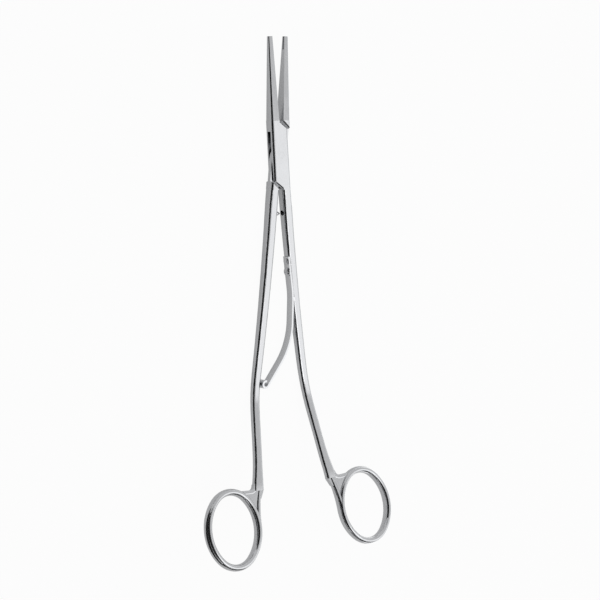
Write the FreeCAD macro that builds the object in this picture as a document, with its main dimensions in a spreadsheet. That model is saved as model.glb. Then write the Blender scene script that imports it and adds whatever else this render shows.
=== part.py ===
import FreeCAD, Part
import Sketcher
import math
import os
from FreeCAD import Placement, Rotation, Vector

# Clip applier: two forged halves crossing in a box lock, a pivot pin, a guide pin
# and a leaf spring held by a screw and a locating pin.
# Each half is drawn closed: X across, +Y towards the jaw tips, +Z out of the front.
# The box half has its jaw at -X and its shank and ring at +X. The tongue half is its mirror.

# Sizes in millimetres and degrees
SIZES = {
    "opening": 7.4,
    "jaw_reach": 45.4,
    "jaw_tip_width": 1.8,
    "jaw_tip_thick": 1.35,
    "jaw_tip_round": 0.5,
    "jaw_root_width": 3.7,
    "closed_gap": 0.24,
    "groove_width": 0.75,
    "groove_depth": 0.6,
    "groove_length": 5.0,
    "box_thick": 4.4,
    "box_half_width": 4.0,
    "box_round": 1.1,
    "box_end": 13.0,
    "block_end": 13.35,
    "root_inset": 0.05,
    "shoulder_end": 9.7,
    "shoulder_gap": 0.3,
    "shoulder_bevel": 0.35,
    "slot_top": 9.1,
    "slot_clearance": 0.08,
    "tongue_thick": 1.6,
    "tongue_half_width": 3.6,
    "tongue_corner": 8.4,
    "tongue_corner_x": 1.9,
    "pivot_radius": 1.2,
    "pivot_clearance": 0.05,
    "root_width": 3.98,
    "neck_along": 21.0,
    "neck_inner": 0.32,
    "neck_width": 4.1,
    "neck_thick": 3.9,
    "shank_round": 1.0,
    "shank_bow": 0.6,
    "knee_along": 92.1,
    "knee_inner": 4.98,
    "knee_width": 3.5,
    "knee_thick": 2.6,
    "bend": 14.0,
    "heel_along": 37.3,
    "heel_inner": 7.85,
    "heel_width": 4.75,
    "ring_across": 24.0,
    "ring_along": 51.1,
    "ring_half_width": 11.9,
    "ring_half_length": 14.25,
    "ring_end_radius": 10.2,
    "wire_half_width": 1.3,
    "wire_half_thick": 1.9,
    "wire_end_radius": 1.1,
    "arm_curve": 45.0,
    "arm_rise": 15.1,
    "arm_end_width": 1.0,
    "arm_end_thick": 1.2,
    "web_thick": 1.9,
    "web_curve": 13.0,
    "toe_drop": 3.1,
    "notch_radius": 1.9,
    "notch_shift": 1.6,
    "rim_wire": 1.05,
    "rim_reach": 5.4,
    "guide_along": 22.5,
    "guide_radius": 0.75,
    "guide_reach": 2.1,
    "guide_root": 2.2,
    "guide_nose": 0.9,
    "guide_clearance": 0.28,
    "guide_hole_depth": 2.9,
    "seat_depth": 0.75,
    "seat_gap": 0.3,
    "seat_tail": 3.5,
    "leaf_thick": 0.8,
    "leaf_width": 3.2,
    "leaf_foot_front": 2.3,
    "leaf_foot_back": 1.15,
    "leaf_head": 2.0,
    "leaf_grip": 6.3,
    "leaf_bend_radius": 30.0,
    "leaf_middle_angle": 6.5,
    "leaf_bow_radius": 27.0,
    "leaf_foot_angle": 43.0,
    "roll_radius": 1.25,
    "roll_turn": 255.0,
    "roll_along": 88.4,
    "roll_gap": 0.1,
    "screw_along": 45.7,
    "screw_head_radius": 1.75,
    "screw_head_height": 1.05,
    "screw_head_edge": 0.35,
    "screw_stem_radius": 0.8,
    "screw_stem_length": 3.0,
    "screw_slot_width": 0.5,
    "screw_slot_depth": 0.45,
    "dowel_gap": 4.1,
    "dowel_head_radius": 1.35,
    "dowel_head_height": 0.65,
    "dowel_head_edge": 0.3,
    "dowel_stem_radius": 0.6,
    "dowel_stem_length": 2.6,
    "stem_clearance": 0.02,
}


class Size:
    """A number with the sheet formula that gives it, so that code and document agree."""

    def __init__(self, number, formula=None):
        self.number = float(number)
        self.formula = formula if formula else repr(float(number))

    def __add__(self, other):
        other = as_size(other)
        return Size(self.number + other.number, f"({self.formula} + {other.formula})")

    def __radd__(self, other):
        return as_size(other) + self

    def __sub__(self, other):
        other = as_size(other)
        return Size(self.number - other.number, f"({self.formula} - {other.formula})")

    def __rsub__(self, other):
        return as_size(other) - self

    def __mul__(self, other):
        other = as_size(other)
        return Size(self.number * other.number, f"({self.formula} * {other.formula})")

    def __rmul__(self, other):
        return as_size(other) * self

    def __truediv__(self, other):
        other = as_size(other)
        return Size(self.number / other.number, f"({self.formula} / {other.formula})")

    def __neg__(self):
        return as_size(0) - self


def as_size(value):
    return value if isinstance(value, Size) else Size(value)


def sine(angle):
    return Size(math.sin(math.radians(angle.number)), f"sin({angle.formula} * 1 deg)")


def tangent(angle):
    return Size(math.tan(math.radians(angle.number)), f"tan({angle.formula} * 1 deg)")


def cosine(angle):
    return Size(math.cos(math.radians(angle.number)), f"cos({angle.formula} * 1 deg)")


def slope_angle(rise, run):
    number = math.degrees(math.atan2(rise.number, run.number))
    return Size(number, f"(atan({rise.formula} / {run.formula}) / 1 deg)")


def between(first, last, share):
    return first + (last - first) * share


doc = FreeCAD.newDocument("clip_applier")
sheet = doc.addObject("Spreadsheet::Sheet", "Sizes")
for row, (alias, number) in enumerate(SIZES.items(), start=1):
    sheet.set(f"A{row}", alias)
    sheet.set(f"B{row}", str(number))
    sheet.setAlias(f"B{row}", alias)
doc.recompute()
s = {alias: Size(number, f"Sizes.{alias}") for alias, number in SIZES.items()}

BOX = 1
TONGUE = -1
HALF_GAP = s["closed_gap"] / 2
HALF_BOX = s["box_thick"] / 2

# Places along the spring's seat, all from the screw
s["dowel_along"] = s["screw_along"] - s["dowel_gap"]
s["leaf_top"] = s["dowel_along"] - s["leaf_head"]
s["seat_top"] = s["leaf_top"] - s["seat_gap"]
s["leaf_bend_start"] = s["screw_along"] + s["leaf_grip"]
s["seat_end"] = s["leaf_bend_start"] + s["seat_tail"]


# Sketches
def origin_plane(body, role):
    for feature in body.Origin.OriginFeatures:
        if feature.Role == role:
            return feature
    raise ValueError(f"no {role} in {body.Label}")


def sketch_on(body, name, role, at=(0, 0, 0), turn=None):
    """A sketch on an origin plane, moved to `at` in the plane's own axes.

    turn is (axis, angle): the plane is turned by a positive angle about that axis.
    """
    sketch = body.newObject("Sketcher::SketchObject", name)
    sketch.AttachmentSupport = [(origin_plane(body, role), "")]
    sketch.MapMode = "FlatFace"
    at = [as_size(value) for value in at]
    rotation = Rotation(turn[0], turn[1].number) if turn else Rotation()
    sketch.AttachmentOffset = Placement(Vector(*[value.number for value in at]), rotation)
    for axis, value in zip("xyz", at):
        if value.number:
            sketch.setExpression(f"AttachmentOffset.Base.{axis}", value.formula)
    if turn:
        sketch.setExpression("AttachmentOffset.Rotation.Angle", f"{turn[1].formula} * 1 deg")
    return sketch


def bind(sketch, constraint, name, value):
    index = sketch.addConstraint(constraint)
    sketch.renameConstraint(index, name)
    sketch.setExpression(f"Constraints.{name}", value.formula)


def hold_point(sketch, geometry, end, x, y, name):
    x = as_size(x)
    y = as_size(y)
    for kind, value in (("DistanceX", x), ("DistanceY", y)):
        constraint = Sketcher.Constraint(kind, -1, 1, geometry, end, value.number)
        bind(sketch, constraint, f"{name}_{kind[-1]}", value)


def arc_through(start, end, radius, turn):
    """The short arc between two points; turn is 1 for counter-clockwise and -1 for clockwise."""
    chord = end - start
    rise = math.sqrt(radius ** 2 - (chord.Length / 2) ** 2)
    left = Vector(-chord.y, chord.x, 0).normalize()
    centre = (start + end) * 0.5 + left * rise * turn
    first, last = (start, end) if turn > 0 else (end, start)
    angles = [math.atan2(p.y - centre.y, p.x - centre.x) for p in (first, last)]
    if angles[1] < angles[0]:
        angles[1] += 2 * math.pi
    return Part.ArcOfCircle(Part.Circle(centre, Vector(0, 0, 1), radius), *angles)


def outline(sketch, corners):
    """A closed outline. A corner is (x, y), or (x, y, radius, turn) where an arc leaves it."""
    points = [Vector(as_size(c[0]).number, as_size(c[1]).number, 0) for c in corners]
    ends = []
    for i, corner in enumerate(corners):
        start, end = points[i], points[(i + 1) % len(corners)]
        if len(corner) == 2:
            geometry = sketch.addGeometry(Part.LineSegment(start, end))
            ends.append((geometry, 1, 2))
        else:
            radius, turn = corner[2], corner[3]
            geometry = sketch.addGeometry(arc_through(start, end, radius.number, turn))
            ends.append((geometry, 1, 2) if turn > 0 else (geometry, 2, 1))
            bind(sketch, Sketcher.Constraint("Radius", geometry, radius.number), f"r{i}", radius)
    for i, corner in enumerate(corners):
        before = ends[i - 1]
        after = ends[i]
        sketch.addConstraint(Sketcher.Constraint("Coincident", before[0], before[2], after[0], after[1]))
        hold_point(sketch, after[0], after[1], corner[0], corner[1], f"p{i}")


def rounded_section(sketch, left, right, half, radius):
    """A rectangle from left to right and half above and below, with round corners."""
    outline(sketch, [
        (left + radius, -half),
        (right - radius, -half, radius, 1),
        (right, -half + radius),
        (right, half - radius, radius, 1),
        (right - radius, half),
        (left + radius, half, radius, 1),
        (left, half - radius),
        (left, -half + radius, radius, 1),
    ])


def circle(sketch, x, y, radius):
    x = as_size(x)
    y = as_size(y)
    ring = sketch.addGeometry(Part.Circle(Vector(x.number, y.number, 0), Vector(0, 0, 1), radius.number))
    bind(sketch, Sketcher.Constraint("Radius", ring, radius.number), "radius", radius)
    if x.number or y.number:
        hold_point(sketch, ring, 3, x, y, "centre")
    else:
        sketch.addConstraint(Sketcher.Constraint("Coincident", ring, 3, -1, 1))


# Features
def slab(body, name, sketch, thick):
    """A pad of the given thickness, half on each side of its sketch."""
    pad = body.newObject("PartDesign::Pad", name)
    pad.Profile = sketch
    pad.Midplane = True
    pad.Length = thick.number
    pad.setExpression("Length", thick.formula)
    doc.recompute()
    return pad


def cut(body, name, sketch, length, middle=False, reverse=False):
    """A pocket, checked to take material away."""
    before = body.Shape.Volume
    pocket = body.newObject("PartDesign::Pocket", name)
    pocket.Profile = sketch
    pocket.Midplane = middle
    pocket.Reversed = reverse
    pocket.Length = length.number
    pocket.setExpression("Length", length.formula)
    doc.recompute()
    if not body.Shape.Volume < before - 1e-6:
        raise ValueError(f"{name} cuts nothing from {body.Label}")
    return pocket


def loft(body, name, sections):
    feature = body.newObject("PartDesign::AdditiveLoft", name)
    feature.Profile = sections[0]
    feature.Sections = sections[1:]
    doc.recompute()
    return feature


def pipe(body, name, profile, spine, edges):
    feature = body.newObject("PartDesign::AdditivePipe", name)
    feature.Profile = profile
    feature.Spine = (spine, edges)
    doc.recompute()
    return feature


def turned(body, name, sketch):
    """A solid of revolution about the sketch's own horizontal axis."""
    feature = body.newObject("PartDesign::Revolution", name)
    feature.Profile = sketch
    feature.ReferenceAxis = (sketch, ["H_Axis"])
    feature.Angle = 360
    doc.recompute()
    return feature


def dress(body, kind, name, base, wanted, size):
    """A fillet or chamfer of the edges whose middle point the test accepts."""
    edges = []
    for number, edge in enumerate(base.Shape.Edges, start=1):
        middle = edge.valueAt((edge.FirstParameter + edge.LastParameter) / 2)
        if wanted(middle, edge):
            edges.append(f"Edge{number}")
    if not edges:
        raise ValueError(f"{name} finds no edge on {body.Label}")
    feature = body.newObject(f"PartDesign::{kind}", name)
    feature.Base = (base, edges)
    amount = "Radius" if kind == "Fillet" else "Size"
    setattr(feature, amount, size.number)
    feature.setExpression(amount, size.formula)
    doc.recompute()
    return feature


def on_flat(middle):
    """True for a point on the front or back face of the box."""
    return abs(abs(middle.z) - HALF_BOX.number) < 1e-4


def runs_along(edge):
    """True for an edge that runs more along the instrument than across it."""
    first, last = edge.Vertexes[0].Point, edge.Vertexes[-1].Point
    return abs(last.y - first.y) > 1.5 * abs(last.x - first.x)


def is_outer(middle, edge):
    return on_flat(middle) and runs_along(edge) and abs(middle.x) > s["box_half_width"].number * 0.8


def is_slanted(middle, edge):
    return on_flat(middle) and not runs_along(edge) and abs(middle.y) < s["box_end"].number - 0.5


# Shank, web and ring
UPPER_STEPS = 9
BEND_START = (UPPER_STEPS - 1) / UPPER_STEPS
LOWER_SWELL = (0, 0, 0, 0.3, 1)
ARM_STEPS = 4


def root_start():
    """Where shank and jaw begin: just inside the ends of the box's block."""
    return between(s["box_end"], s["block_end"], 0.5)


SHANK_RUN = s["knee_along"] - s["neck_along"]
SHANK_SLOPE = (s["knee_inner"] - s["neck_inner"]) / SHANK_RUN


def shank_line(along):
    """Distance of the shank's gripping side from the middle, above the knee.

    The straight taper is bowed inwards by a parabola that is deepest at mid-length.
    """
    share = (along - s["neck_along"]) / SHANK_RUN
    return between(s["neck_inner"], s["knee_inner"], share) - s["shank_bow"] * share * (1 - share) * 4


def below_knee(along):
    """A point down the bent run, in the axes of the XZ plane."""
    return (0, along * sine(s["bend"]), s["knee_along"] + along * cosine(s["bend"]))


def inside_knee():
    """The middle of the round bend, which cuts the corner of the two straight runs."""
    half = s["bend"] / 2
    ease = SHANK_RUN * (1 - BEND_START) * tangent(half / 2)
    return (0, ease * cosine(half), s["knee_along"] - ease * sine(half))


def section_at(body, name, hand, at, inner, width, thick, radius, tilt=None):
    """A cross-section of the shank, square to its run."""
    sketch = sketch_on(body, name, "XZ_Plane", at, (Vector(-1, 0, 0), tilt) if tilt else None)
    low = inner if hand > 0 else -(inner + width)
    rounded_section(sketch, low, low + width, thick / 2, radius)
    return sketch


def shank(body, hand):
    """The long taper from the box to the knee, and from the knee to the heel."""
    inset = s["root_inset"]
    sections = [section_at(
        body, "shank_root", hand, (0, 0, root_start()),
        HALF_GAP + inset, s["root_width"] - inset * 2, s["box_thick"] - inset * 2, s["box_round"],
    )]
    for step in range(UPPER_STEPS):
        share = step / UPPER_STEPS
        along = between(s["neck_along"], s["knee_along"], share)
        sections.append(section_at(
            body, f"shank_upper{step}", hand, (0, 0, along),
            shank_line(along),
            between(s["neck_width"], s["knee_width"], share),
            between(s["neck_thick"], s["knee_thick"], share),
            s["shank_round"],
        ))
    steps = len(LOWER_SWELL)
    for step in range(steps + 1):
        swell = LOWER_SWELL[step - 1] if step else 0
        sections.append(section_at(
            body, f"shank_lower{step}", hand,
            below_knee(s["heel_along"] * (step / steps)) if step else inside_knee(),
            between(s["knee_inner"], s["heel_inner"], step / steps),
            between(s["knee_width"], s["heel_width"], swell),
            s["knee_thick"],
            s["shank_round"],
            s["bend"] if step else s["bend"] / 2,
        ))
    return loft(body, "shank", sections)


def lower_plane(body, name):
    """A sketch in the plane of the ring: X across, -Y down the run from the knee."""
    return sketch_on(body, name, "XY_Plane", (0, -s["knee_along"], 0), (Vector(-1, 0, 0), s["bend"]))


def oval(across, length, tight):
    """An oval of four arcs, from its two half sizes and the radius of its ends.

    Gives how far out the end arcs' middles lie, the radius of the side arcs, and the
    angle at which they meet.
    """
    shift = length - tight
    wide = (shift * shift + across * across - tight * tight) / ((across - tight) * 2)
    return shift, wide, slope_angle(shift, wide - across)


def oval_section(sketch, middle, across, length, tight):
    shift, wide = oval(across, length, tight)[:2]
    share = tight / (wide - tight)
    x = (wide - across) * share
    y = shift + shift * share
    outline(sketch, [
        (middle + x, -y, wide, 1),
        (middle + x, y, tight, 1),
        (middle - x, y, wide, 1),
        (middle - x, -y, tight, 1),
    ])


RING_LEFT = s["ring_across"] - s["ring_half_width"]
RING_TOP = s["ring_along"] - s["ring_half_length"]
SHANK_OUTER = s["heel_inner"] + s["heel_width"]


def arm_line(along):
    """The middle of the arm: it leaves the ring's inner side straight and curves towards the heel."""
    climb = s["ring_along"] - along
    return RING_LEFT - climb * climb / (s["arm_curve"] * 2)


def arm(body, hand):
    """The ring's wire, running on from its inner side up into the heel and thinning there."""
    sections = []
    for step in range(ARM_STEPS + 1):
        share = step / ARM_STEPS
        along = s["ring_along"] - s["arm_rise"] * share
        sketch = sketch_on(body, f"arm{step}", "XZ_Plane", below_knee(along), (Vector(-1, 0, 0), s["bend"]))
        across = between(s["wire_half_width"], s["arm_end_width"], share)
        thick = between(s["wire_half_thick"], s["arm_end_thick"], share)
        tight = s["wire_end_radius"] * (across / s["wire_half_width"])
        oval_section(sketch, arm_line(along) * hand, across, thick, tight)
        sections.append(sketch)
    return loft(body, "arm", sections)


def web(body, hand):
    """The flat bridge between heel and ring, thinner than both."""
    sketch = lower_plane(body, "web_outline")
    heel = s["heel_inner"]
    outer = SHANK_OUTER
    inside = s["wire_half_width"] / 2
    toe_end = s["heel_along"] + s["toe_drop"]
    sunk = 3.0
    corners = [
        (heel + sunk / 2, s["heel_along"] - sunk),
        (heel + inside / 4, s["heel_along"] - inside / 4),
        (arm_line(toe_end) - inside * 1.8, toe_end),
        (arm_line(toe_end), toe_end + inside),
        (RING_LEFT + inside / 4, s["ring_along"], s["web_curve"], -hand),
        (s["ring_across"] - s["ring_end_radius"] * 0.35, RING_TOP + inside),
        (s["ring_across"] - s["ring_end_radius"] * 0.45, RING_TOP + inside / 4),
        (outer + s["notch_shift"], RING_TOP, s["notch_radius"], -hand),
        (outer + s["notch_shift"] - s["notch_radius"], RING_TOP - s["notch_radius"]),
        (outer - sunk / 3, s["heel_along"] - sunk),
    ]
    outline(sketch, [(hand * c[0], -c[1]) + tuple(c[2:]) for c in corners])
    return slab(body, "web", sketch, s["web_thick"])


def rim(body, hand):
    """Round edges for the web: a quarter turn in the notch, and a straight run on to the ring's top."""
    wire = s["rim_wire"]
    reach = s["notch_radius"] + wire
    middle = SHANK_OUTER + s["notch_shift"]
    centre = below_knee(RING_TOP - s["notch_radius"])
    at = (middle * hand, centre[1], centre[2])
    sketch = sketch_on(body, "notch_wire", "XZ_Plane", at, (Vector(-1, 0, 0), s["bend"]))
    circle(sketch, reach * -hand, 0, wire)
    bend = body.newObject("PartDesign::Revolution", "notch_rim")
    bend.Profile = sketch
    bend.ReferenceAxis = (sketch, ["V_Axis"])
    bend.Reversed = hand < 0
    bend.Angle = 90
    doc.recompute()
    height = below_knee(RING_TOP + wire)
    at = (-height[2], height[1], (middle + s["rim_reach"] / 2) * hand)
    sketch = sketch_on(body, "top_wire", "YZ_Plane", at)
    circle(sketch, 0, 0, wire)
    return slab(body, "top_rim", sketch, s["rim_reach"])


def ring_arc(body, name, role, at, turn, reach, span):
    """A stretch of the ring's wire, swung half of its span each way about its own middle."""
    sketch = sketch_on(body, f"{name}_wire", role, at, turn)
    oval_section(sketch, reach, s["wire_half_width"], s["wire_half_thick"], s["wire_end_radius"])
    feature = body.newObject("PartDesign::Revolution", name)
    feature.Profile = sketch
    feature.ReferenceAxis = (sketch, ["V_Axis"])
    feature.Midplane = True
    feature.Angle = span.number
    feature.setExpression("Angle", f"{span.formula} * 1 deg")
    doc.recompute()


def finger_ring(body, hand):
    """An oval ring of oval wire: four arcs that run smoothly into each other."""
    across = s["ring_half_width"]
    tight = s["ring_end_radius"]
    shift, wide, meeting = oval(across, s["ring_half_length"], tight)
    on_edge = (Vector(0, 0, -1), s["bend"])
    square = (Vector(-1, 0, 0), s["bend"])
    for name, sign in (("ring_top", 1), ("ring_bottom", -1)):
        height = below_knee(s["ring_along"] - sign * shift)
        at = (-height[2], height[1], hand * s["ring_across"])
        ring_arc(body, name, "YZ_Plane", at, on_edge, sign * tight, (90 - meeting) * 2)
    for name, sign in (("ring_right", 1), ("ring_left", -1)):
        centre = below_knee(s["ring_along"])
        at = (hand * s["ring_across"] - sign * (wide - across), centre[1], centre[2])
        ring_arc(body, name, "XZ_Plane", at, square, sign * wide, meeting * 2)


# Jaw and box
def jaw_section(sketch, low, high, half, radius, side):
    """A rectangle with round corners on its outer side and square ones on its gripping side."""
    if side < 0:
        outline(sketch, [
            (low + radius, -half), (high, -half), (high, half), (low + radius, half, radius, 1),
            (low, half - radius), (low, -half + radius, radius, 1),
        ])
    else:
        outline(sketch, [
            (low, -half), (high - radius, -half, radius, 1), (high, -half + radius),
            (high, half - radius, radius, 1), (high - radius, half), (low, half),
        ])


def jaw(body, hand):
    """The straight taper from the box to the tip, on the other side from the shank."""
    sections = []
    inset = s["root_inset"]
    root_outer = HALF_GAP + s["jaw_root_width"] - inset
    for name, along, near, far, thick, radius in (
        ("jaw_root", root_start(), HALF_GAP + inset, root_outer, s["box_thick"] - inset * 2, s["box_round"]),
        (
            "jaw_tip", s["jaw_reach"], HALF_GAP, HALF_GAP + s["jaw_tip_width"],
            s["jaw_tip_thick"], s["jaw_tip_round"],
        ),
    ):
        sketch = sketch_on(body, name, "XZ_Plane", (0, 0, -along))
        inner = -near * hand
        outer = -far * hand
        low, high = (outer, inner) if hand > 0 else (inner, outer)
        jaw_section(sketch, low, high, thick / 2, radius, -hand)
        sections.append(sketch)
    return loft(body, "jaw", sections)


def clip_groove(body, hand):
    """The groove along the gripping face that holds a clip's leg, open at the tip."""
    sketch = sketch_on(body, "groove_outline", "YZ_Plane", (0, 0, HALF_GAP * hand))
    half = s["groove_width"] / 2
    start = s["jaw_reach"] - s["groove_length"]
    end = s["jaw_reach"] + 1
    outline(sketch, [(start, -half), (end, -half), (end, half), (start, half)])
    return cut(body, "clip_groove", sketch, s["closed_gap"] + s["groove_depth"], reverse=hand < 0)


def shoulder_y(x, gap):
    """Height of the box's slanted end at x, moved out by a gap."""
    rise = s["box_end"] - s["shoulder_end"]
    run = s["box_half_width"] + HALF_GAP
    return s["box_end"] - (x + HALF_GAP) * rise / run + gap


def box_block(body):
    """The full block of the box, from slanted end to slanted end."""
    half = s["box_half_width"]
    end = s["box_end"]
    block = s["block_end"]
    sketch = sketch_on(body, "box_outline", "XY_Plane")
    outline(sketch, [
        (-(HALF_GAP + s["jaw_root_width"]), block),
        (-half, -s["shoulder_end"]),
        (HALF_GAP, -end),
        (HALF_GAP, -block),
        (HALF_GAP + s["root_width"], -block),
        (half, s["shoulder_end"]),
        (-HALF_GAP, end),
        (-HALF_GAP, block),
    ])
    block = slab(body, "box_block", sketch, s["box_thick"])
    block = dress(body, "Fillet", "box_rounding", block, is_outer, s["box_round"])
    return dress(body, "Chamfer", "box_bevel", block, is_slanted, s["shoulder_bevel"])


def box_slot(body):
    """The slot through the box from side to side, with slanted end walls."""
    half = s["box_half_width"]
    end = s["box_end"]
    clear = half + 2
    sketch = sketch_on(body, "slot_outline", "XY_Plane")
    outline(sketch, [
        (-half, s["slot_top"]),
        (-clear, s["slot_top"]),
        (-clear, -end - 1),
        (-HALF_GAP, -end - 1),
        (HALF_GAP, -end),
        (half, -s["slot_top"]),
        (clear, -s["slot_top"]),
        (clear, end + 1),
        (HALF_GAP, end + 1),
        (-HALF_GAP, end),
    ])
    return cut(body, "slot", sketch, s["tongue_thick"] + s["slot_clearance"] * 2, middle=True)


def shoulders(body):
    """The two full-thickness roots that close on the slanted ends of the box."""
    half = s["box_half_width"]
    block = s["block_end"]
    for name, sign, outer in (
        ("jaw_shoulder", 1, HALF_GAP + s["jaw_root_width"]),
        ("shank_shoulder", -1, HALF_GAP + s["root_width"]),
    ):
        sketch = sketch_on(body, f"{name}_outline", "XY_Plane")
        corners = [
            (HALF_GAP, block),
            (HALF_GAP, shoulder_y(HALF_GAP, s["shoulder_gap"])),
            (half, shoulder_y(half, s["shoulder_gap"])),
            (outer, block),
        ]
        outline(sketch, [(sign * x, sign * y) for x, y in corners])
        slab(body, name, sketch, s["box_thick"])
    rounded = dress(body, "Fillet", "shoulder_rounding", body.Tip, is_outer, s["box_round"])
    return dress(body, "Chamfer", "shoulder_bevel", rounded, is_slanted, s["shoulder_bevel"])


def tongue(body):
    """The thin middle that runs through the slot of the box."""
    half = s["box_half_width"] - s["root_inset"]
    end = s["box_end"]
    sketch = sketch_on(body, "tongue_outline", "XY_Plane")
    outline(sketch, [
        (HALF_GAP, end),
        (-s["tongue_corner_x"], s["tongue_corner"]),
        (-s["tongue_half_width"], 0.5),
        (-half, -s["shoulder_end"]),
        (-half, -end),
        (-HALF_GAP, -end),
        (s["tongue_corner_x"], -s["tongue_corner"]),
        (s["tongue_half_width"], -0.5),
        (half, s["shoulder_end"]),
        (s["jaw_root_width"], end),
    ])
    return slab(body, "tongue", sketch, s["tongue_thick"])


def new_body(name):
    body = doc.addObject("PartDesign::Body", name)
    body.Label = name
    body.AllowCompound = True
    return body


def bore(body, name, role, at, radius, depth, **options):
    """A round hole whose sketch lies at the given place on an origin plane."""
    turn = options.pop("turn", None)
    sketch = sketch_on(body, f"{name}_outline", role, at, turn)
    circle(sketch, 0, 0, radius)
    return cut(body, name, sketch, depth, **options)


def forged_half(name, hand):
    """Everything that the two halves have in common, round the middle that tells them apart."""
    body = new_body(name)
    if hand == BOX:
        box_block(body)
    else:
        shoulders(body)
        tongue(body)
    jaw(body, hand)
    shank(body, hand)
    web(body, hand)
    rim(body, hand)
    arm(body, hand)
    finger_ring(body, hand)
    if hand == BOX:
        box_slot(body)
    play = s["pivot_clearance"] if hand == TONGUE else s["stem_clearance"]
    bore(body, "pivot_bore", "XY_Plane", (0, 0, 0), s["pivot_radius"] + play, s["box_thick"] + 2, middle=True)
    clip_groove(body, hand)
    return body


# Spring seat on the box half
LEAF_TILT = slope_angle(s["knee_inner"] - s["neck_inner"], SHANK_RUN)
LEAF_TURN = (Vector(0, 1, 0), LEAF_TILT)


def seat_line(along):
    """Distance of the seat's flat from the middle. It has the shank's slope without its bow."""
    return shank_line(s["screw_along"]) + (along - s["screw_along"]) * SHANK_SLOPE + s["seat_depth"]


def seat_at(along, lift=0):
    """A point over the seat's flat, in the axes of the YZ plane. The lift goes towards the leaf."""
    return (-along, 0, seat_line(along) - lift)


def spring_seat(body):
    """The flat that the leaf lies on and the two holes in it."""
    middle = s["screw_along"]
    sketch = sketch_on(body, "seat_outline", "YZ_Plane", seat_at(middle), LEAF_TURN)
    top = middle - s["seat_top"]
    end = middle - s["seat_end"]
    half = s["box_thick"] / 2
    outline(sketch, [(end, -half), (top, -half), (top, half), (end, half)])
    cut(body, "spring_seat", sketch, s["box_thick"] / 2)
    for name in ("screw", "dowel"):
        bore(
            body, f"{name}_hole", "YZ_Plane", seat_at(s[f"{name}_along"]),
            s[f"{name}_stem_radius"] + s["stem_clearance"],
            s[f"{name}_stem_length"] - s["leaf_thick"] + s["stem_clearance"],
            reverse=True, turn=LEAF_TURN,
        )


def guide_socket(body, hand):
    """The open hole for the guide pin in the box half, or the pin's own hole in the tongue half."""
    play = s["guide_clearance"] if hand == BOX else s["stem_clearance"]
    depth = s["guide_hole_depth"] if hand == BOX else s["guide_root"]
    inner = shank_line(s["guide_along"])
    at = (-s["guide_along"], 0, (inner - 0.3) * hand)
    return bore(
        body, "guide_hole", "YZ_Plane", at, s["guide_radius"] + play, depth + 0.3, reverse=hand == BOX,
    )


# Small parts
def pivot_pin():
    body = new_body("pivot_pin")
    sketch = sketch_on(body, "pin_outline", "XY_Plane")
    circle(sketch, 0, 0, s["pivot_radius"])
    slab(body, "pin", sketch, s["box_thick"])
    return body


def guide_pin():
    """The pin that stands out of the tongue half, with a tapered nose."""
    body = new_body("guide_pin")
    inner = shank_line(s["guide_along"])
    sketch = sketch_on(body, "pin_outline", "XY_Plane", (-inner, -s["guide_along"], 0))
    radius = s["guide_radius"]
    nose = s["guide_reach"] - s["guide_nose"]
    outline(sketch, [
        (-s["guide_root"], 0),
        (s["guide_reach"], 0),
        (s["guide_reach"], radius * 0.45),
        (nose, radius),
        (-s["guide_root"], radius),
    ])
    turned(body, "pin", sketch)
    return body


def headed_pin(name, kind, slotted):
    """A domed head on the leaf's free face and a stem through the leaf into the shank."""
    body = new_body(name)
    along = s[f"{kind}_along"]
    face = seat_at(along, s["leaf_thick"])
    sketch = sketch_on(body, "pin_outline", "XY_Plane", (face[2], face[0], 0), (Vector(0, 0, 1), LEAF_TILT))
    edge = s[f"{kind}_head_edge"]
    height = s[f"{kind}_head_height"]
    head = s[f"{kind}_head_radius"]
    stem = s[f"{kind}_stem_radius"]
    length = s[f"{kind}_stem_length"]
    rise = height - edge
    dome = (head * head + rise * rise) / (rise * 2)
    outline(sketch, [
        (-height, 0),
        (length, 0),
        (length, stem),
        (0, stem),
        (0, head),
        (-edge, head, dome, 1),
    ])
    turned(body, "pin", sketch)
    if slotted:
        half = s["screw_slot_width"] / 2
        lift = s["leaf_thick"] + height * 2
        slot = sketch_on(body, "slot_outline", "YZ_Plane", seat_at(along, lift), LEAF_TURN)
        outline(slot, [(-half, -head - 1), (half, -head - 1), (half, head + 1), (-half, head + 1)])
        cut(body, "slot", slot, height + s["screw_slot_depth"], reverse=True)
    return body


def heading(degrees):
    return Vector(-math.sin(math.radians(degrees)), -math.cos(math.radians(degrees)), 0)


def roll_centre():
    """The roll's middle, where it rests against the tongue half's shank with the jaws open."""
    along = s["roll_along"]
    side = shank_line(along)
    lean = s["opening"] + LEAF_TILT
    reach = s["roll_radius"] + s["leaf_thick"] / 2 + s["roll_gap"]
    x = reach * cosine(lean) - side * cosine(s["opening"]) - along * sine(s["opening"])
    y = side * sine(s["opening"]) - along * cosine(s["opening"]) - reach * sine(lean)
    return x, y


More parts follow.
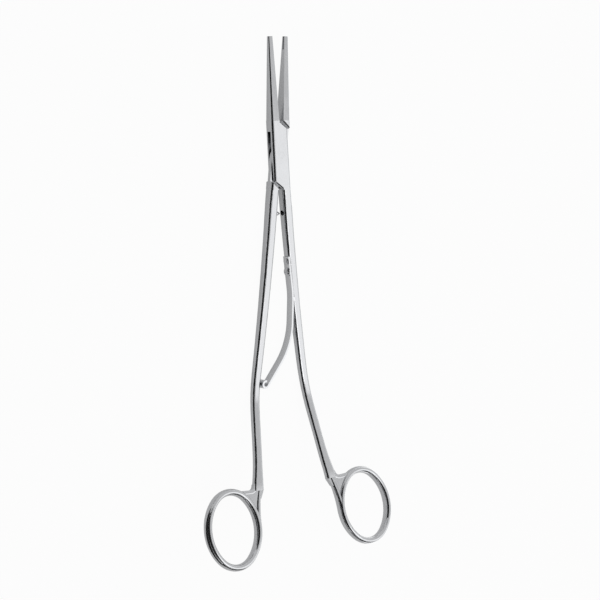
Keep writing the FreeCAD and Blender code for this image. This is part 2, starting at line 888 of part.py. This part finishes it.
def leaf_points():
    """The ends of the leaf's lines and the roll's middle, from the sizes as numbers."""
    n = {alias: size.number for alias, size in s.items()}
    angles = (-LEAF_TILT.number, n["leaf_middle_angle"], n["leaf_foot_angle"])
    root, middle, foot = [heading(angle) for angle in angles]
    half = n["leaf_thick"] / 2
    start = Vector(seat_line(s["leaf_top"]).number - half, -n["leaf_top"], 0)
    bend = Vector(seat_line(s["leaf_bend_start"]).number - half, -n["leaf_bend_start"], 0)
    reach = n["leaf_bend_radius"] * math.tan(math.radians(angles[1] - angles[0]) / 2)
    below_bend = bend + root * reach + middle * reach
    roll = Vector(*[place.number for place in roll_centre()], 0)
    foot_end = roll + Vector(-foot.y, foot.x, 0) * n["roll_radius"]
    gap = foot_end - below_bend
    run = (gap.x * foot.y - gap.y * foot.x) / (middle.x * foot.y - middle.y * foot.x)
    corner = below_bend + middle * run
    reach = n["leaf_bow_radius"] * math.tan(math.radians(angles[2] - angles[1]) / 2)
    return start, bend, below_bend, corner - middle * reach, corner + foot * reach, foot_end, roll


def leaf_spring():
    """A strip bent in a long bow, with its free end rolled up."""
    body = new_body("leaf_spring")
    spine = sketch_on(body, "leaf_line", "XY_Plane")
    points = leaf_points()
    lines = [spine.addGeometry(Part.LineSegment(points[i], points[i + 1])) for i in (0, 2, 4)]
    arcs = [
        spine.addGeometry(arc_through(points[1], points[2], s["leaf_bend_radius"].number, -1)),
        spine.addGeometry(arc_through(points[3], points[4], s["leaf_bow_radius"].number, -1)),
    ]
    roll = points[6]
    radius = s["roll_radius"].number
    first = math.atan2(points[5].y - roll.y, points[5].x - roll.x)
    last = first - math.radians(s["roll_turn"].number)
    arcs.append(spine.addGeometry(
        Part.ArcOfCircle(Part.Circle(roll, Vector(0, 0, 1), radius), last + 2 * math.pi, first + 2 * math.pi)
    ))
    for before, arc in zip(lines, arcs):
        spine.addConstraint(Sketcher.Constraint("Tangent", before, 2, arc, 2))
    for arc, after in zip(arcs, lines[1:]):
        spine.addConstraint(Sketcher.Constraint("Tangent", arc, 1, after, 1))
    thick = s["leaf_thick"] / 2
    for end, along in ((1, s["leaf_top"]), (2, s["leaf_bend_start"])):
        hold_point(spine, lines[0], end, seat_line(along) - thick, -along, f"root{end}")
    for arc, name in zip(arcs, ("leaf_bend_radius", "leaf_bow_radius", "roll_radius")):
        bind(spine, Sketcher.Constraint("Radius", arc, s[name].number), name, s[name])
    hold_point(spine, arcs[2], 3, *roll_centre(), "roll")
    for line, name in zip(lines[1:], ("leaf_middle_angle", "leaf_foot_angle")):
        angle = -(s[name] + 90)
        index = spine.addConstraint(Sketcher.Constraint("Angle", line, math.radians(angle.number)))
        spine.renameConstraint(index, name)
        spine.setExpression(f"Constraints.{name}", f"{angle.formula} * 1 deg")
    index = spine.addConstraint(Sketcher.Constraint("Angle", arcs[2], math.radians(s["roll_turn"].number)))
    spine.renameConstraint(index, "roll_turn")
    spine.setExpression("Constraints.roll_turn", f"{s['roll_turn'].formula} * 1 deg")
    strip = sketch_on(
        body, "leaf_section", "XZ_Plane", (seat_line(s["leaf_top"]) - thick, 0, s["leaf_top"]), LEAF_TURN,
    )
    width = s["leaf_width"] / 2
    blank = s["leaf_foot_front"]
    outline(strip, [(-thick, -width), (thick, -width), (thick, blank), (-thick, blank)])
    pipe(body, "leaf", strip, spine, [f"Edge{i + 1}" for i in range(6)])
    top = 1 - s["leaf_top"]
    grip = -s["seat_end"]
    foot = roll_centre()[1] - s["roll_radius"] - 1
    for name, side, last in (("front", 1, s["leaf_foot_front"]), ("back", -1, s["leaf_foot_back"])):
        edge = sketch_on(body, f"{name}_outline", "YZ_Plane")
        clear = blank + 1
        outline(edge, [
            (top, side * width),
            (grip, side * width),
            (foot, side * last),
            (foot, side * clear),
            (top, side * clear),
        ])
        cut(body, f"{name}_edge", edge, s["roll_along"] / 2, middle=True)
    for name in ("screw", "dowel"):
        bore(
            body, f"{name}_hole", "YZ_Plane", seat_at(s[f"{name}_along"]),
            s[f"{name}_stem_radius"] + s["stem_clearance"], s["leaf_thick"] * 3,
            middle=True, turn=LEAF_TURN,
        )
    return body


# The whole instrument
box_half = forged_half("box_half", BOX)
spring_seat(box_half)
guide_socket(box_half, BOX)
tongue_half = forged_half("tongue_half", TONGUE)
guide_socket(tongue_half, TONGUE)
held_by_box = [
    box_half,
    pivot_pin(),
    leaf_spring(),
    headed_pin("spring_screw", "screw", True),
    headed_pin("spring_locating_pin", "dowel", False),
]
held_by_tongue = [tongue_half, guide_pin()]
doc.recompute()

# At rest the instrument lies on its back, on the end of the box and on both bends
rest_tilt = slope_angle(
    (s["box_thick"] - between(s["neck_thick"], s["knee_thick"], BEND_START)) / 2,
    between(s["neck_along"], s["knee_along"], BEND_START) - s["box_end"],
).number
groups = ((held_by_box, 1), (held_by_tongue, -1))


def lie_down(shift):
    for bodies, hand in groups:
        opened = Rotation(Vector(0, 0, 1), hand * s["opening"].number / 2)
        turn = Rotation(Vector(1, 0, 0), rest_tilt) * opened
        for body in bodies:
            body.Placement = Placement(shift, turn)
    doc.recompute()


lie_down(Vector())
extent = FreeCAD.BoundBox()
for bodies, hand in groups:
    for body in bodies:
        extent.add(body.Shape.optimalBoundingBox(False, False))
lie_down(Vector(0, -extent.Center.y, -extent.ZMin))

for obj in doc.Objects:
    if "Invalid" in obj.State or "Error" in obj.State:
        raise ValueError(f"{obj.Name} in state {obj.State}")
os.makedirs("parts", exist_ok=True)
for bodies, hand in groups:
    for body in bodies:
        shape = body.Shape
        if shape.isNull() or not shape.isValid() or len(shape.Solids) != 1:
            raise ValueError(f"{body.Label} is not one sound solid")
        shape.exportStep(f"parts/{body.Label}.step")
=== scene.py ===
# %% [markdown]
# # A clip applier in polished stainless steel
# The solid model already holds every piece: two forged halves that cross in a box lock, a pivot
# pin, a guide pin, and a leaf spring with its screw and locating pin. This lesson gives them
# their finish, cuts a copy of the leaf into thin rows so that it can bend, and sets up the studio
# in which a mirror-like instrument can be read.

# %% Load the frame
import math

import bmesh
import bpy
import numpy as np
from mathutils import Matrix, Vector


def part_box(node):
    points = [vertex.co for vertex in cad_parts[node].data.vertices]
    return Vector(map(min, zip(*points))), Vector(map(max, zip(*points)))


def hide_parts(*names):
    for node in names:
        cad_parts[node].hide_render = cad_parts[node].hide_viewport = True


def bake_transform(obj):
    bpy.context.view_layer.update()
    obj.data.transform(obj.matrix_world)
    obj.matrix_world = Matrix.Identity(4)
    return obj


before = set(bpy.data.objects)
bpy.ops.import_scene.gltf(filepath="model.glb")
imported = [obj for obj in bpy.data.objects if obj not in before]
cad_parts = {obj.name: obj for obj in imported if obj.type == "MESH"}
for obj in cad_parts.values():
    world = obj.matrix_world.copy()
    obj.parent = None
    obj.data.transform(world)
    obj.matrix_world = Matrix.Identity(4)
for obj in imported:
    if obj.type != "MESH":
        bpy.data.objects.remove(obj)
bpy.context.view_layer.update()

# %% [markdown]
# ## The camera
# The photograph was taken with a long lens, from the instrument's left and a little towards its
# tips. Two unit vectors give the camera's right and up, and its back is their cross product. A
# camera looks along its own -Z, so the three go straight into its matrix as columns. A Track To
# constraint would be shorter, but it can't hold the slight roll that the photograph has.

# %% Camera
CAMERA_PLACE = (-0.46899, 0.07518, 0.57421)
CAMERA_RIGHT = (0.76568, -0.01233, 0.64310)
CAMERA_UP = (0.07551, 0.99463, -0.07082)
FIELD_OF_VIEW = 17.780
CLIP_END = 20


def add_object(name, data):
    """Links a new object with this data into the scene."""
    made = bpy.data.objects.new(name, data)
    bpy.context.scene.collection.objects.link(made)
    return made


def add_camera():
    """A camera whose columns are right, up = back x right, and back = right x up."""
    right = Vector(CAMERA_RIGHT).normalized()
    back = right.cross(Vector(CAMERA_UP)).normalized()
    up = back.cross(right)
    data = bpy.data.cameras.new("camera")
    data.angle = math.radians(FIELD_OF_VIEW)
    data.clip_end = CLIP_END
    camera = add_object("camera", data)
    turn = Matrix((right, up, back)).transposed().to_4x4()
    camera.matrix_world = Matrix.Translation(CAMERA_PLACE) @ turn
    bpy.context.scene.camera = camera
    return back


print("camera looks from", [round(c, 3) for c in add_camera()])

# %% [markdown]
# ## Colours and nodes
# Colours are written as the sRGB hex values that a picture editor shows. Blender mixes light in
# linear values, so one function turns them. A second one adds a node with its settings and links,
# which keeps each material below in the order in which its nodes are read.

# %% Helpers


def linear(hex_colour):
    """A channel c becomes c / 12.92 up to 0.04045, and ((c + 0.055) / 1.055) ** 2.4 above it."""
    channels = [int(hex_colour[i:i + 2], 16) / 255 for i in (0, 2, 4)]
    return (
        *(c / 12.92 if c <= 0.04045 else ((c + 0.055) / 1.055) ** 2.4 for c in channels),
        1.0,
    )


def node(tree, kind, values=None, links=None, **settings):
    """Adds one node, sets its properties and socket values, and links its inputs."""
    made = tree.nodes.new(kind)
    for name, value in settings.items():
        setattr(made, name, value)
    for socket, value in (values or {}).items():
        made.inputs[socket].default_value = value
    for socket, source in (links or {}).items():
        tree.links.new(source, made.inputs[socket])
    return made


def new_material(name):
    """A material without nodes, and its empty node tree."""
    material = bpy.data.materials.new(name)
    material.use_nodes = True
    material.node_tree.nodes.clear()
    return material, material.node_tree


# %% [markdown]
# ## Polished stainless steel
# Surgical halves are forged from martensitic stainless steel, ground, and polished on a felt
# wheel. The polish leaves a bright face with a faint haze, and hairlines a few hundredths of a
# millimetre wide that run along the instrument. The hairlines are too fine to show, so they are
# drawn about ten times as coarse. The leaf is tempered spring steel, a little paler and duller,
# with fainter lines. Noise in real millimetres gives all of it: a fine one stretched along Y for
# the hairlines, and a broad one for the haze. Their product sets the roughness.

# %% Steel
STEEL_HEX = "C4C5C7"
SPRING_HEX = "CFD0D2"
MM_PER_METRE = 1000
HAIRLINE_MM = 0.35
HAIRLINE_RATE_ALONG = 0.06
HAIRLINE_DEPTH = 0.00002
HAZE_MM = 9.0
PRODUCT_LOW, PRODUCT_HIGH = 0.1, 0.4


def steel(name, hex_colour, smooth, rough, bump):
    """Metal whose roughness goes from smooth to rough as fine noise x broad noise grows."""
    material, tree = new_material(name)
    place = node(tree, "ShaderNodeTexCoord")
    stretched = node(
        tree, "ShaderNodeMapping",
        values={"Scale": (1.0, HAIRLINE_RATE_ALONG, 1.0)},
        links={"Vector": place.outputs["Object"]},
    )
    hairlines = node(
        tree, "ShaderNodeTexNoise",
        values={"Scale": MM_PER_METRE / HAIRLINE_MM, "Detail": 3.0, "Roughness": 0.6},
        links={"Vector": stretched.outputs["Vector"]},
    )
    haze = node(
        tree, "ShaderNodeTexNoise",
        values={"Scale": MM_PER_METRE / HAZE_MM, "Detail": 4.0, "Roughness": 0.55},
        links={"Vector": place.outputs["Object"]},
    )
    both = node(
        tree, "ShaderNodeMath", operation="MULTIPLY",
        links={0: hairlines.outputs["Fac"], 1: haze.outputs["Fac"]},
    )
    roughness = node(
        tree, "ShaderNodeMapRange",
        values={
            "From Min": PRODUCT_LOW, "From Max": PRODUCT_HIGH, "To Min": smooth, "To Max": rough,
        },
        links={"Value": both.outputs["Value"]},
    )
    relief = node(
        tree, "ShaderNodeBump",
        values={"Strength": bump, "Distance": HAIRLINE_DEPTH},
        links={"Height": hairlines.outputs["Fac"]},
    )
    shader = node(
        tree, "ShaderNodeBsdfPrincipled",
        values={"Base Color": linear(hex_colour), "Metallic": 1.0},
        links={"Roughness": roughness.outputs["Result"], "Normal": relief.outputs["Normal"]},
    )
    node(tree, "ShaderNodeOutputMaterial", links={"Surface": shader.outputs["BSDF"]})
    return material


polished_steel = steel(
    "polished_stainless_steel", STEEL_HEX, smooth=0.11, rough=0.21, bump=0.3,
)
spring_steel = steel("tempered_spring_steel", SPRING_HEX, smooth=0.14, rough=0.24, bump=0.2)
FINISHES = {
    "box_half": polished_steel,
    "tongue_half": polished_steel,
    "pivot_pin": polished_steel,
    "guide_pin": polished_steel,
    "spring_screw": polished_steel,
    "spring_locating_pin": polished_steel,
    "leaf_spring": spring_steel,
}
for name, finish in FINISHES.items():
    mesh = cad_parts[name].data
    mesh.materials.clear()
    mesh.materials.append(finish)
print("finished", sorted(FINISHES))

# %% [markdown]
# ## A leaf that can bend
# The solid leaf is stiff, and would cut through the left shank as the instrument closes. A copy
# takes its place, cut across every millimetre so that it can bend. Here it is only cut, and no
# point of it is moved.

# %% Bending leaf
SLICE = 0.001
SHARP_DEGREES = 35


def bending_leaf():
    """A copy of the leaf's mesh with rows of points across it, one row for each SLICE along Y."""
    low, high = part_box("leaf_spring")
    sliced = bmesh.new()
    sliced.from_mesh(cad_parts["leaf_spring"].data)
    for y in np.arange(low[1] + SLICE, high[1], SLICE):
        everything = sliced.verts[:] + sliced.edges[:] + sliced.faces[:]
        bmesh.ops.bisect_plane(sliced, geom=everything, plane_co=(0, y, 0), plane_no=(0, 1, 0))
    mesh = bpy.data.meshes.new("bending_leaf")
    sliced.to_mesh(mesh)
    sliced.free()
    mesh.shade_smooth()
    mesh.set_sharp_from_angle(angle=math.radians(SHARP_DEGREES))
    mesh.materials.append(spring_steel)
    leaf = add_object("bending_leaf", mesh)
    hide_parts("leaf_spring")
    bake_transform(leaf)
    return leaf


print("leaf has", len(bending_leaf().data.polygons), "faces")

# %% [markdown]
# ## The table
# A mirror shows its surroundings, so the surroundings are the picture. The instrument lies on a
# white table. Lamps strong enough to turn the table white would burn out the steel, so the table
# itself shows white: nearly all of it for rays straight from the camera, and a part for rays that
# the metal sends on. What is left is a plain grey that takes the instrument's shadow.

# %% Table
FLOOR_HEX = "C4C4C4"
FLOOR_HALF = 3.0
SEEN_STRAIGHT = 0.95
SEEN_IN_METAL = 0.36
PLAIN_WHITE = (1, 1, 1, 1)


def add_sheet(name, middle, across, rise, material):
    """A flat sheet of the studio, with its corners at middle +- across +- rise."""
    middle, across, rise = Vector(middle), Vector(across), Vector(rise)
    corners = [
        middle - across - rise,
        middle + across - rise,
        middle + across + rise,
        middle - across + rise,
    ]
    mesh = bpy.data.meshes.new(name)
    mesh.from_pydata(corners, [], [(0, 1, 2, 3)])
    mesh.materials.append(material)
    sheet = add_object(name, mesh)
    return sheet


def white_table():
    """Grey mixed with glowing white, by SEEN_STRAIGHT x camera ray + SEEN_IN_METAL x glossy ray."""
    material, tree = new_material("white_table")
    rays = node(tree, "ShaderNodeLightPath")
    in_metal = node(
        tree, "ShaderNodeMath", operation="MULTIPLY", values={1: SEEN_IN_METAL},
        links={0: rays.outputs["Is Glossy Ray"]},
    )
    seen = node(
        tree, "ShaderNodeMath", operation="MULTIPLY_ADD", values={1: SEEN_STRAIGHT},
        links={0: rays.outputs["Is Camera Ray"], 2: in_metal.outputs["Value"]},
    )
    diffuse = node(tree, "ShaderNodeBsdfDiffuse", values={"Color": linear(FLOOR_HEX)})
    white = node(tree, "ShaderNodeEmission", values={"Color": PLAIN_WHITE, "Strength": 1.0})
    mixed = node(
        tree, "ShaderNodeMixShader",
        links={0: seen.outputs["Value"], 1: diffuse.outputs["BSDF"], 2: white.outputs["Emission"]},
    )
    node(tree, "ShaderNodeOutputMaterial", links={"Surface": mixed.outputs["Shader"]})
    return material


add_sheet("floor", (0, 0, 0), (FLOOR_HALF, 0, 0), (0, FLOOR_HALF, 0), white_table())
print("table", 2 * FLOOR_HALF, "m wide")

# %% [markdown]
# ## The sky and the lamps
# An even white sky gives the steel its plain level of light. Two square lamps stand high on the
# right, towards the rings, so the faint shadow falls away to the left. Large lamps are chosen
# because a small one would leave hard bright spots in the polish.

# %% Sky and lamps
SKY_STRENGTH = 0.78
SOFTBOXES = {
    # name: place, width, power
    "softbox_right": ((0.9, -0.47, 1.07), 1.1, 2.4),
    "softbox_top": ((0.26, -0.4, 1.38), 0.5, 1.0),
}


def add_world():
    """An even white sky."""
    world = bpy.data.worlds.new("tent")
    world.use_nodes = True
    tree = world.node_tree
    tree.nodes.clear()
    sky = node(
        tree, "ShaderNodeBackground",
        values={"Color": PLAIN_WHITE, "Strength": SKY_STRENGTH},
    )
    node(tree, "ShaderNodeOutputWorld", links={"Surface": sky.outputs["Background"]})
    bpy.context.scene.world = world


def add_softbox(name, place, width, power):
    """A square lamp that faces the instrument."""
    data = bpy.data.lights.new(name, "AREA")
    data.shape = "SQUARE"
    data.size = width
    data.energy = power
    lamp = add_object(name, data)
    lamp.location = place
    lamp.rotation_euler = (-Vector(place)).to_track_quat("-Z", "Y").to_euler()


add_world()
for name, row in SOFTBOXES.items():
    add_softbox(name, *row)
print("lamps", sorted(SOFTBOXES))

# %% [markdown]
# ## Cards in the metal
# Photographers draw the edges of polished steel with cards. These are sheets that only the metal
# sees: the camera, the diffuse light and the shadows pass through them. One dark card stands
# behind the camera and one lies on the table to the left. The rounded long edges face them, and
# show them as the thin dark lines that draw the shape. A third stands past the rings. Three white
# ones on the right keep the sides that face them bright. A picture of a studio, wrapped round the
# scene, could do this too, but a card can be moved by itself until its edge looks right.

# %% Cards
DARK_HEX = "2A2A2A"
DIM_HEX = "3A3A3A"
WHITE_HEX = "FFFFFF"
ON_TABLE = 0.0004
CARDS = {
    # name: middle, half its width, half its height, colour, strength
    "camera_side": ((-0.72, 0.05, 0.75), (0, 1.2, 0), (0.55, 0, 0.68), DARK_HEX, 1.0),
    "table_side": ((-0.56, 0, ON_TABLE), (0.5, 0, 0), (0, 1.2, 0), DARK_HEX, 1.0),
    "right_side": ((0.9, 0, 0.25), (0, 0.9, 0), (0, 0, 0.25), WHITE_HEX, 1.0),
    "right_of_box": ((0.206, 0.085, ON_TABLE), (0.2, 0, 0), (0, 0.05, 0), WHITE_HEX, 1.5),
    "right_of_ring": ((0.25, -0.1, ON_TABLE), (0.2, 0, 0), (0, 0.1, 0), WHITE_HEX, 1.5),
    "foot_side": ((0.1, -0.5, 0.2), (0.3, 0, 0), (0, 0, 0.18), DIM_HEX, 1.0),
}


def add_card(name, middle, across, rise, hex_colour, strength):
    """A glowing sheet that only the metal sees."""
    material, tree = new_material(name)
    shade = node(
        tree, "ShaderNodeEmission",
        values={"Color": linear(hex_colour), "Strength": strength},
    )
    node(tree, "ShaderNodeOutputMaterial", links={"Surface": shade.outputs["Emission"]})
    card = add_sheet(name, middle, across, rise, material)
    card.visible_camera = False
    card.visible_diffuse = False
    card.visible_shadow = False


for name, row in CARDS.items():
    add_card(name, *row)
print("cards", list(CARDS))

# %% [markdown]
# ## Colours as they are written
# The Standard view shows a colour as its hex value says. Filmic views would grey the white table.

# %% View
bpy.context.scene.view_settings.view_transform = "Standard"
